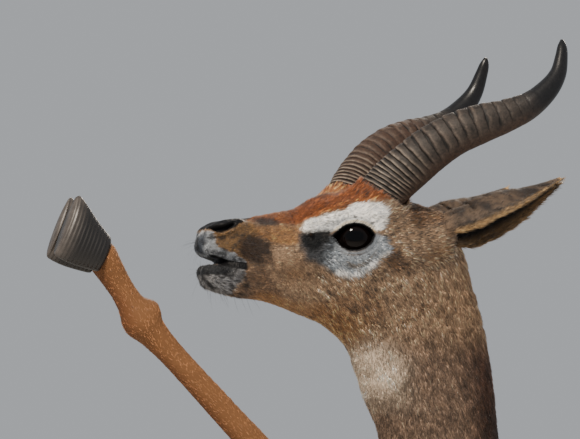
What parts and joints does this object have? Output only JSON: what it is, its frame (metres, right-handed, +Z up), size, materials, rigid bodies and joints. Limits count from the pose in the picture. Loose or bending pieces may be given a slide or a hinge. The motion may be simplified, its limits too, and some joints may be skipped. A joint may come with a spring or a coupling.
{
  "type": "gerenuk",
  "caption": "Life-size male gerenuk standing up on its hind legs to browse, long neck raised and one foreleg lifted, with ringed horns, on a plain wooden display base",
  "frame": {"origin": "centre of the underside of the display base, on the floor", "axes": "+Z up, the animal faces -X, its left side faces -Y"},
  "size_m": [0.8388, 0.5, 2.0312],
  "materials": {
    "chestnut_coat": "short close chestnut hair with white and black face markings",
    "tan_coat": "short close tan hair, redder on the back and white on the belly",
    "horn": "dull keratin with raised rings and a smoother dark tip",
    "ear_skin": "short brown-grey hair outside, pale inside",
    "eye": "wet glossy dark brown",
    "hoof": "black keratin with a low sheen",
    "base_wood": "satin dark stained wood"
  },
  "bodies": {
    "root": {"head": "chestnut_coat", "neck": "tan_coat", "torso": "tan_coat", "tail": "tan_coat", "foreleg_upper_left": "tan_coat", "foreleg_lower_left": "tan_coat", "foreleg_upper_right": "tan_coat", "foreleg_lower_right": "tan_coat", "hindleg_upper_left": "tan_coat", "hindleg_lower_left": "tan_coat", "hindleg_upper_right": "tan_coat", "hindleg_lower_right": "tan_coat", "horn_left": "horn", "horn_right": "horn", "ear_left": "ear_skin", "ear_right": "ear_skin", "eye_left": "eye", "eye_right": "eye", "hoof_fore_left_left": "hoof", "hoof_fore_left_right": "hoof", "hoof_fore_right_left": "hoof", "hoof_fore_right_right": "hoof", "hoof_hind_left_left": "hoof", "hoof_hind_left_right": "hoof", "hoof_hind_right_left": "hoof", "hoof_hind_right_right": "hoof", "stand_base": "base_wood"}
  },
  "joints": []
}
